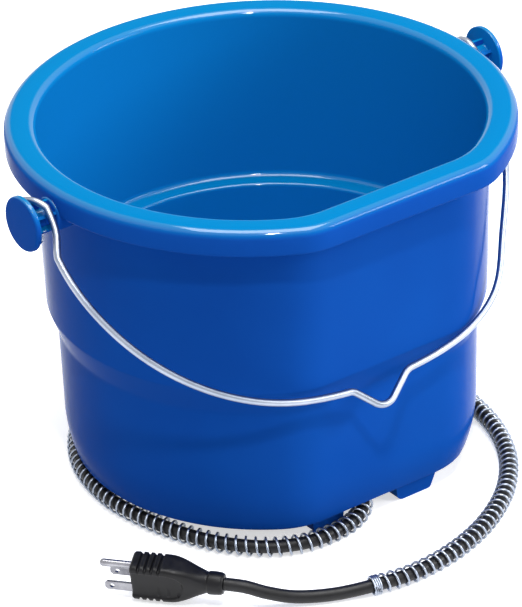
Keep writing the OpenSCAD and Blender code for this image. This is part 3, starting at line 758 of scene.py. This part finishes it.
@dataclass(frozen=True)
class ArmouredCord(SubAssembly):
    """The mains cord with its armour spring, the spring's collar and the plug."""

    cord_d: float = 8.2
    cord_step: float = 4.0
    bevel_steps: int = 6
    plug_gap: float = 0.3
    wire_d: float = 1.6
    coil_r: float = 5.65
    coil_pitch: float = 6.2
    coil_inset: float = 0.8
    coil_step: float = 2.0
    gland_tip_s: float = 19.0
    bare_l: float = 92.0
    collar_l: float = 5.0
    collar_turns: float = 4.0
    collar_wire_d: float = 1.35
    collar_r: float = 5.8
    collar_step: float = 0.5
    points: tuple[Point3, ...] = (
        (2, -52, 11), (2, -62, 11), (2, -72, 11), (1.5, -82, 9.5), (-2, -96, 8), (-10, -107, 7),
        (-22, -114, 6.5), (-36, -117, 6.5), (-52, -117, 6.5), (-66, -113.5, 6.5), (-82, -104, 6.5),
        (-99, -85, 6.5), (-112, -60, 6.5), (-121, -28, 6.5), (-124, 4, 6.5), (-117, 42, 6.5),
        (-99, 75, 6.5), (-70, 103, 6.5), (-34, 120, 6.5), (6, 124, 6.5), (46, 115.5, 6.5),
        (80, 95, 6.5), (106, 65, 6.5), (122, 27, 6.5), (126, -13, 6.5), (122, -53, 6.5),
        (113, -88, 6.5), (96, -120, 6.5), (70, -148, 6.5), (37, -169, 6.5), (2, -181, 6.5),
        (-30, -184, 6.5), (-56, -180, 6.6), (-80, -171, 5.4), (-101, -160, 6.5), (-116, -151, 11),
        (-126, -142.5, 15.15), (-135, -133, 16.15))

    def build(self) -> list[Object]:
        """Returns:
            The cord and the pieces on it.
        """
        route = Route(self.points)
        cord_l = route.length - self.plug_gap
        line = route.stretch(0.0, cord_l, self.cord_step)
        data = path_data(line)
        data.bevel_depth = self.cord_d / 2 * MM
        data.bevel_resolution = self.bevel_steps
        data.use_fill_caps = True
        cord = self.piece("mains_cord", data, Slot.RUBBER, "cord")
        s0, s1 = self.gland_tip_s, route.length - self.bare_l - self.collar_l
        half_wire = self.collar_wire_d / 2
        path = route.stretch(s0 + self.coil_inset, s1 - self.coil_inset, self.coil_step)
        spring = self.piece(
            "spring_armour", path_data(path), Slot.ZINC, "armour_spring", sharp_deg=60,
            tree=self.kit.coil, wire_radius=self.wire_d / 2 * MM, coil_radius=self.coil_r * MM,
            turns=float(round((s1 - s0) / self.coil_pitch)))
        path = route.stretch(s1 + half_wire, s1 + self.collar_l + half_wire, self.collar_step)
        collar = self.piece(
            "collar_coils", path_data(path), Slot.ZINC, "spring_collar", sharp_deg=60,
            tree=self.kit.coil, wire_radius=half_wire * MM, coil_radius=self.collar_r * MM,
            turns=self.collar_turns)
        (plug,) = Plug(self.kit).build()
        return [cord, spring, collar, plug]


@dataclass(frozen=True)
class BucketShell(SubAssembly):
    """The moulded bucket: a double wall with a rolled rim, the tub inside and two ear bosses."""

    rim_z: float = 239.0
    rim_r: float = 157.5
    rim_h: float = 16.5
    rim_round: float = 5.5
    rim_inner_round: float = 5.0
    lip_round: float = 1.4
    lip_fillet: float = 1.6
    upper_top_r: float = 140.5
    upper_low_r: float = 138.0
    shoulder_z: float = 118.0
    shoulder_h: float = 18.0
    shoulder_round: float = 7.0
    shoulder_fillet: float = 16.0
    lower_top_r: float = 131.5
    lower_low_r: float = 130.4
    curve_z: float = 42.0
    base_r: float = 125.7
    base_z: float = 14.0
    base_round: float = 0.9
    rim_corner_r: float = 38.0
    wall_corner_r: float = 48.0
    wall: float = 2.6
    shoulder_extra: float = 0.6  # more wall behind the shoulder
    tub_top_r: float = 123.5
    tub_low_r: float = 121.5
    tub_chamfer: Point2 = (5.0, 2.0)  # inward on the floor's underside, upward past its top
    ledge_rise: float = 3.5
    ledge_round: float = 2.2
    ledge_fillet: float = 4.0
    floor_z: float = 48.0
    floor_t: float = 3.0
    floor_fillet: float = 9.0
    floor_edge_r: float = 100.0  # where the flat middle of the floor starts
    boss_start_x: float = 138.6
    boss_r: float = 11.0
    boss_round: float = 1.5
    bore_r: float = 6.0
    inner_steps: int = 8
    outer_steps: int = 12
    corner_steps: int = 9
    wall_steps: int = 200
    flat_steps: int = 26

    def build(self) -> list[Object]:
        """Sweeps the wall round the plan and adds the bosses.

        Returns:
            The moulding.
        """
        wall = [[row((x, y, z)) for x, y in self._plan(r)] for r, z in self._profile()]
        boss = rounded([(self.boss_start_x, self.boss_r, 0),
                        (EAR_FACE_X, self.boss_r, self.boss_round), (EAR_FACE_X, self.bore_r, 0)])
        mesh = solid(wall, turned(boss, -1), turned(boss, 1))
        return [self.piece("bucket_moulding", mesh, Slot.BLUE, "bucket_shell")]

    def _profile(self) -> list[Point2]:
        """Section of the wall, from under the tub over the base and the rim to the tub's floor.

        Returns:
            Radius and height along the wall.
        """
        dz, dr = self.curve_z - self.base_z, self.lower_low_r - self.base_r
        curve_r = (dz * dz + dr * dr) / (2 * dr)
        curve_a = math.degrees(math.asin(dz / curve_r))
        centre = (self.lower_low_r - curve_r, self.curve_z)
        inner = arc(centre, curve_r - self.wall, 0, -curve_a, self.inner_steps)
        outer = arc(centre, curve_r, -curve_a, 0, self.outer_steps)
        lip_z = self.rim_z - self.rim_h
        ledge_z = self.shoulder_z + self.ledge_rise
        lower_z = self.shoulder_z - self.shoulder_h
        chamfer_in, chamfer_up = self.tub_chamfer
        return rounded([
            (self.tub_low_r + self.wall - chamfer_in, self.floor_z - self.floor_t, 0),
            (self.tub_low_r + self.wall, self.floor_z + chamfer_up, 0),
            (self.tub_top_r + self.wall, ledge_z - self.wall, 0),
            (self.upper_low_r - self.wall - self.shoulder_extra, ledge_z - self.wall, 0),
            (self.lower_top_r - self.wall, lower_z, 0),
            *((*p, 0) for p in inner[:-1]),
            (*inner[-1], self.base_round),
            (*outer[0], self.base_round),
            *((*p, 0) for p in outer[1:]),
            (self.lower_top_r, lower_z, self.shoulder_fillet),
            (self.upper_low_r, self.shoulder_z, self.shoulder_round),
            (self.upper_top_r, lip_z, self.lip_fillet),
            (self.rim_r, lip_z, self.lip_round),
            (self.rim_r, self.rim_z, self.rim_round),
            (self.upper_top_r - self.wall, self.rim_z, self.rim_inner_round),
            (self.upper_low_r - self.wall, ledge_z, self.ledge_fillet),
            (self.tub_top_r, ledge_z, self.ledge_round),
            (self.tub_low_r, self.floor_z, self.floor_fillet),
            (self.floor_edge_r, self.floor_z, 0)])

    def _plan(self, r: float) -> list[Point2]:
        """Plan of the wall at a radius: a circle cut flat on -Y, with rounded corners.

        Args:
            r: Radius of the round part.

        Returns:
            Points in order, always the same number.
        """
        share = (r - self.upper_top_r) / (self.rim_r - self.upper_top_r)
        k = self.wall_corner_r
        k += (self.rim_corner_r - self.wall_corner_r) * min(1.0, max(0.0, share))
        flat_y = FLAT_CUT - r
        cy = flat_y + k
        cx = math.sqrt((r - k) ** 2 - cy ** 2)
        a = math.degrees(math.atan2(cy, cx))
        right = arc((cx, cy), k, -90, a, self.corner_steps)
        wall = arc((0, 0), r, a, 180 - a, self.wall_steps)[1:-1]
        left = arc((-cx, cy), k, 180 - a, 270, self.corner_steps)
        flat = [(-cx + 2 * cx * i / self.flat_steps, flat_y) for i in range(1, self.flat_steps)]
        return right + wall + left + flat


@dataclass(frozen=True)
class FrontFoot(SubAssembly):
    """The foot that shows under the flat side: a flat front, a round corner and a sloping end."""

    left_x: float = 18.5
    left_lean: float = 1.0
    right_x: float = 44.5
    right_slope: float = 9.5
    front_y: float = -105.6
    back_y: float = -86.5
    top_z: float = 20.0
    left_r: float = 5.0
    right_r: float = 3.0

    def build(self) -> list[Object]:
        """Builds the foot round the CAD one.

        Returns:
            The foot, which stands for no CAD node.
        """
        outline = rounded([(self.left_x - self.left_lean, self.top_z, 0),
                           (self.left_x, 0, self.left_r), (self.right_x, 0, self.right_r),
                           (self.right_x + self.right_slope, self.top_z, 0)])
        ends = [[row((x, y, z)) for x, z in outline] for y in (self.front_y, self.back_y)]
        return [self.piece("front_foot", solid(ends), Slot.BLUE)]


@dataclass(frozen=True)
class Ears(SubAssembly):
    """The ears that carry the bail: a spigot, a finned hub and a rounded disc each."""

    spigot_l: float = 12.0
    spigot_r: float = 6.0
    hub_l: float = 16.0
    hub_r: float = 10.4
    core_r: float = 7.0
    fin_n: int = 6
    fin_t: float = 2.0
    disc_r: float = 17.5
    disc_t: float = 3.5
    disc_fillet: float = 0.8
    disc_back_round: float = 0.7
    disc_round: float = 1.6
    middle_r: float = 3.0  # radius of the flat face that closes the disc

    def build(self) -> list[Object]:
        """Builds the left and the right ear."""
        return [self._ear(-1, "left_ear"), self._ear(1, "right_ear")]

    def _ear(self, side: int, node: str) -> Object:
        """Turns one ear and sets its fins.

        Args:
            side: -1 for the left ear, 1 for the right one.
            node: CAD node that it stands for.

        Returns:
            The ear.
        """
        disc_x = EAR_FACE_X + self.hub_l
        front_x = disc_x + self.disc_t
        profile = rounded([
            (EAR_FACE_X - self.spigot_l, self.spigot_r, 0), (EAR_FACE_X, self.spigot_r, 0),
            (EAR_FACE_X, self.core_r, 0), (disc_x, self.core_r, self.disc_fillet),
            (disc_x, self.disc_r, self.disc_back_round), (front_x, self.disc_r, self.disc_round),
            (front_x, self.middle_r, 0)])
        fins = self.kit.fins.run(
            bpy.data.meshes.new("fins"), self.kit.materials[Slot.BLUE], length=self.hub_l * MM,
            thickness=self.fin_t * MM, reach=self.hub_r * MM, count=float(self.fin_n))
        middle = row((side * (EAR_FACE_X + self.hub_l / 2), 0, HINGE_Z))
        fins.transform(Matrix.Translation(middle))
        mesh = solid(turned(profile, side), extra=fins)
        return self.piece(f"{node}_moulding", mesh, Slot.BLUE, node)


@dataclass(frozen=True)
class Bail(SubAssembly):
    """The wire bail: a loop on each ear, the bow and the hanging notch.

    The sway gives how far the springy wire leans sideways at shares of its length from the right
    ear. The left loop takes the last lean up over its first points, run_out of them.
    """

    wire_d: float = 4.5
    loop_r: float = 13.0
    loop_turn: float = 285.0
    loop_steps: int = 48
    leg_x: float = 166.5
    leg_steps: int = 6
    shift_x: float = -5.5
    rest_deg: float = 46.1
    reach: float = 173.0
    side_r: float = 144.0
    side_steps: int = 60
    front_r: float = 250.0
    front_steps: int = 8
    notch_depth: float = 14.0
    notch_r: float = 9.0
    notch_steps: int = 10
    shoulder_r: float = 8.0
    shoulder_steps: int = 8
    run_out: float = 11.0
    sag: float = -1.5
    sway: tuple[Point2, ...] = (
        (0.0, 0.0), (0.06, -3.9), (0.14, -11.4), (0.22, -14.8), (0.32, -2.8), (0.42, -0.2),
        (0.5, -11.5), (0.58, -7.3), (0.7, -4.3), (0.84, -2.6), (0.946, -1.2), (0.957, 1.6),
        (0.974, 5.8), (1.0, 7.5))

    def build(self) -> list[Object]:
        """Bends the wire, which rides on the bail's body."""
        return [self.piece(
            "bail_wire", path_data(self._path()), Slot.ZINC, "bail", body=Body.BAIL, sharp_deg=60,
            tree=self.kit.wire, wire_radius=self.wire_d / 2 * MM)]

    def _half_bow(self) -> list[Point2]:
        """Right half of the bow, laid flat: leg, side, front, and half of the notch.

        Returns:
            Sideways places and distances from the hinge, from the ear to the notch.
        """
        front_y = self.reach - self.front_r
        side_x = self.leg_x - self.side_r
        side_y = front_y + math.sqrt((self.front_r - self.side_r) ** 2 - side_x ** 2)
        side_a = math.degrees(math.atan2(side_y - front_y, side_x))
        # The notch's shoulder touches the front arc and, at 45 degrees, the notch's own arc.
        notch_y = self.reach + self.notch_depth - self.notch_r
        total = notch_y + (self.notch_r + self.shoulder_r) * math.sqrt(2)
        far_r, gap = self.front_r + self.shoulder_r, total - front_y
        shoulder_x = (gap - math.sqrt(2 * far_r ** 2 - gap ** 2)) / 2
        shoulder_y = total - shoulder_x
        shoulder_a = math.degrees(math.atan2(shoulder_y - front_y, shoulder_x))
        return ([(self.leg_x, side_y * i / self.leg_steps) for i in range(self.leg_steps)]
                + arc((side_x, side_y), self.side_r, 0, side_a, self.side_steps)
                + arc((0, front_y), self.front_r, side_a, shoulder_a, self.front_steps)[1:]
                + arc((shoulder_x, shoulder_y), self.shoulder_r, 180 + shoulder_a, 225,
                      self.shoulder_steps)[1:]
                + arc((0, notch_y), self.notch_r, 45, 90, self.notch_steps))

    def _path(self) -> list[Vector]:
        """Middle line of the sprung wire.

        Returns:
            Points from the end of the right loop to the end of the left one.
        """
        tilt = math.radians(self.rest_deg)
        down = Vector((0, -math.sin(tilt), -math.cos(tilt)))
        out = Vector((0, -math.cos(tilt), math.sin(tilt)))
        axis = Vector((0, 0, HINGE_Z))
        turns = [math.radians(90 + self.loop_turn * (1 - i / self.loop_steps))
                 for i in range(self.loop_steps)]
        loop = [axis + Vector((self.leg_x, 0, 0))
                + self.loop_r * (math.cos(a) * down + math.sin(a) * out) for a in turns]
        half = self._half_bow()
        bow = half + [(-x, y) for x, y in reversed(half[:-1])]
        far = list(accumulate(map(math.dist, bow, bow[1:]), initial=0.0))
        points = list(loop)
        for (x, y), length in zip(bow, far):
            share = length / far[-1]
            sag = self.sag * math.sin(math.pi * share) ** 2
            points.append(axis + Vector((x + smooth_at(self.sway, share), 0, 0))
                          + (y + sag) * down + self.loop_r * out)
        last_lean = self.sway[-1][1]
        points += [Vector((last_lean * max(0.0, 1 - i / self.run_out) - p.x, p.y, p.z))
                   for i, p in enumerate(reversed(loop))]
        return [p + Vector((self.shift_x, 0, 0)) for p in points]


@dataclass(frozen=True)
class Lead:
    """One lead in the base; a lead from the cord first comes up through the gland at its X."""

    node: str
    slot: Slot
    path: tuple[Point3, ...]
    gland_x: float | None = None


@dataclass(frozen=True)
class HeaterWiring(SubAssembly):
    """The heating cable and the leads in the base, as smooth tubes."""

    cable_r: float = 1.6
    cable_turns: int = 4
    cable_span: Point2 = (42.0, 88.0)
    cable_z: float = 41.7
    turn_steps: int = 48
    lead_r: float = 1.1
    rise: tuple[Point2, ...] = ((-34, 20), (-34, 32), (-33, 35.3), (-30, 36.5))  # Y and Z
    leads: tuple[Lead, ...] = (
        Lead("line_lead", Slot.RUBBER, ((-8, -16, 36.5), (-14, 0, 37.5), (-16.9, 16, 38.5)), -0.6),
        Lead("neutral_lead", Slot.WHITE_LEAD, (
            (14, -24, 36.5), (30, -24, 38.7), (42, -19, 40.7), (42, -14, 41.7), (42, -11.4, 41.7)),
            4.6),
        Lead("earth_lead", Slot.GREEN_LEAD, (
            (1, -20, 36.5), (1, -8, 40.2), (1, -6, 42.2), (1, -5.5, 44.0)), 2.0),
        Lead("heater_lead", Slot.RUBBER, (
            (16.9, 16, 38.5), (30, 16, 36.5), (60, 15, 36.5), (80, 19, 36.5), (88, 19, 40.7),
            (88, 14, 41.7), (88, 11.4, 41.7))))

    def build(self) -> list[Object]:
        """Lays the cable's spiral and the leads.

        Returns:
            The cable and the leads.
        """
        r0, r1 = self.cable_span
        count = self.cable_turns * self.turn_steps
        spiral = []
        for k in range(count + 1):
            r, a = r0 + (r1 - r0) * k / count, math.tau * k / self.turn_steps
            spiral.append((r * math.cos(a), r * math.sin(a), self.cable_z))
        made = [self.piece(
            "heating_cable_tube", path_data(spiral), Slot.HEATER, "heating_cable", sharp_deg=60,
            tree=self.kit.wire, wire_radius=self.cable_r * MM)]
        for lead in self.leads:
            rise = [] if lead.gland_x is None else [(lead.gland_x, y, z) for y, z in self.rise]
            made.append(self.piece(
                f"{lead.node}_tube", path_data([*rise, *lead.path]), lead.slot, lead.node,
                sharp_deg=70, tree=self.kit.wire, wire_radius=self.lead_r * MM))
        return made


@dataclass(frozen=True)
class Lamp:
    """A square area light that faces the bucket's axis; place, size and aim are metres."""

    name: str
    place: Point3
    size: float
    watts: float
    aim_z: float = 0.1
    tint: Point3 = (1.0, 1.0, 1.0)

    def build(self) -> None:
        """Adds the light to the scene."""
        data = bpy.data.lights.new(self.name, "AREA")
        data.size, data.energy, data.color = self.size, self.watts, self.tint
        lamp = link(self.name, data)
        lamp.location = self.place
        ahead = Vector((0, 0, self.aim_z)) - Vector(self.place)
        lamp.rotation_euler = ahead.to_track_quat("-Z", "Y").to_euler()


@dataclass(frozen=True)
class Studio:
    """Camera, floor, lights and background; the camera's values are fitted to the photograph."""

    azimuth: float = -35.74
    elevation: float = 29.29
    roll: float = -2.02
    pan: float = -0.08
    tilt: float = -0.32
    distance_m: float = 2.810
    target_z: float = 120.5
    focal_px: float = 4500.0
    image_w_px: float = 522.0
    sensor_mm: float = 36.0
    clip_end_m: float = 50.0
    floor_half_m: float = 6.0
    floor_tone: Point2 = (0.5, 0.92)  # for rays that light the object, and where it shows
    floor_glow: Point2 = (0.0, 0.6)
    floor_roughness: float = 0.9
    floor_specular: float = 0.1
    soft_tint: tuple[float, ...] = (0.8, 0.86, 1.0, 1.0)
    soft_strength: float = 0.28
    lamps: tuple[Lamp, ...] = (
        Lamp("key", (1.7, -1.7, 1.2), 1.2, 45),
        Lamp("top", (0.1, -0.1, 2.4), 1.6, 62),
        Lamp("front", (-0.75, -1.25, 2.3), 0.14, 18, aim_z=0.2),
        Lamp("fill", (-2.2, -0.9, 1.0), 1.5, 2, tint=(0.85, 0.78, 1.0)))

    def camera(self) -> None:
        """Sets the camera at the photograph's viewing angle."""
        data = bpy.data.cameras.new("camera")
        data.sensor_fit = "HORIZONTAL"
        data.sensor_width = self.sensor_mm
        data.lens = self.focal_px / self.image_w_px * self.sensor_mm
        data.clip_end = self.clip_end_m
        pole, azimuth, tilt, pan, roll = map(math.radians, (
            90 - self.elevation, self.azimuth, self.tilt, self.pan, self.roll))
        camera = link("camera", data)
        camera.matrix_world = (
            Matrix.Translation(row((0, 0, self.target_z)))
            @ Euler((pole, 0, azimuth)).to_matrix().to_4x4()
            @ Matrix.Translation((0, 0, self.distance_m))
            @ Euler((tilt, -pan, roll), "ZXY").to_matrix().to_4x4())
        bpy.context.scene.camera = camera

    @staticmethod
    def _seen_directly(add: Callable[..., Node]) -> Node:
        """Tells rays that show the background from rays that light the object.

        Args:
            add: Adds a node to the tree of the floor or of the world.

        Returns:
            Node that gives 1 for camera, glossy and transmission rays.
        """
        rays = add("ShaderNodeLightPath").outputs
        total = rays["Is Camera Ray"]
        for kind in ("Is Glossy Ray", "Is Transmission Ray"):
            total = add("ShaderNodeMath", {0: total, 1: rays[kind]}, operation="MAXIMUM")
        return total

    def floor(self) -> None:
        """Adds the plain pale floor, which looks white and throws back less light than it shows."""
        half = self.floor_half_m
        mesh = bpy.data.meshes.new("floor")
        mesh.from_pydata([(-half, -half, 0), (half, -half, 0), (half, half, 0), (-half, half, 0)],
                         [], [(0, 1, 2, 3)])
        material = bpy.data.materials.new("studio_paper")
        add = fresh_tree(material)
        seen = self._seen_directly(add)
        tone, glow = (
            add("ShaderNodeMapRange", {"Value": seen, "To Min": lit, "To Max": shown})
            for lit, shown in (self.floor_tone, self.floor_glow))
        shader = add("ShaderNodeBsdfPrincipled", {
            "Base Color": tone, "Roughness": self.floor_roughness, "Emission Strength": glow,
            "Emission Color": (1, 1, 1, 1), "Specular IOR Level": self.floor_specular})
        add("ShaderNodeOutputMaterial", {"Surface": shader})
        mesh.materials.append(material)
        link("floor", mesh)

    def lights(self) -> None:
        """Adds soft light from above and from both sides."""
        for lamp in self.lamps:
            lamp.build()

    def world(self) -> None:
        """Makes the background white where it shows, and a soft light on the object."""
        scene = bpy.context.scene
        scene.view_settings.view_transform = "Standard"
        scene.world = bpy.data.worlds.new("studio")
        add = fresh_tree(scene.world)
        soft, white = (
            add("ShaderNodeBackground", {"Color": tint, "Strength": strength})
            for tint, strength in ((self.soft_tint, self.soft_strength), ((1, 1, 1, 1), 1.0)))
        mix = add("ShaderNodeMixShader", {"Fac": self._seen_directly(add), 1: soft, 2: white})
        add("ShaderNodeOutputWorld", {"Surface": mix})


def main() -> None:
    logging.basicConfig(level=logging.INFO)
    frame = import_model()
    studio = Studio()
    studio.camera()
    kit = Kit(frame)
    kit.dress_nodes()
    LOG.info("%d CAD nodes dressed", len(kit.nodes))
    for part in (ArmouredCord, BucketShell, FrontFoot, Ears, Bail, HeaterWiring):
        for piece in part(kit).build():
            LOG.info("%s: %s", part.__name__, piece.name)
    studio.floor()
    studio.lights()
    studio.world()


if __name__ == "__main__":
    main()
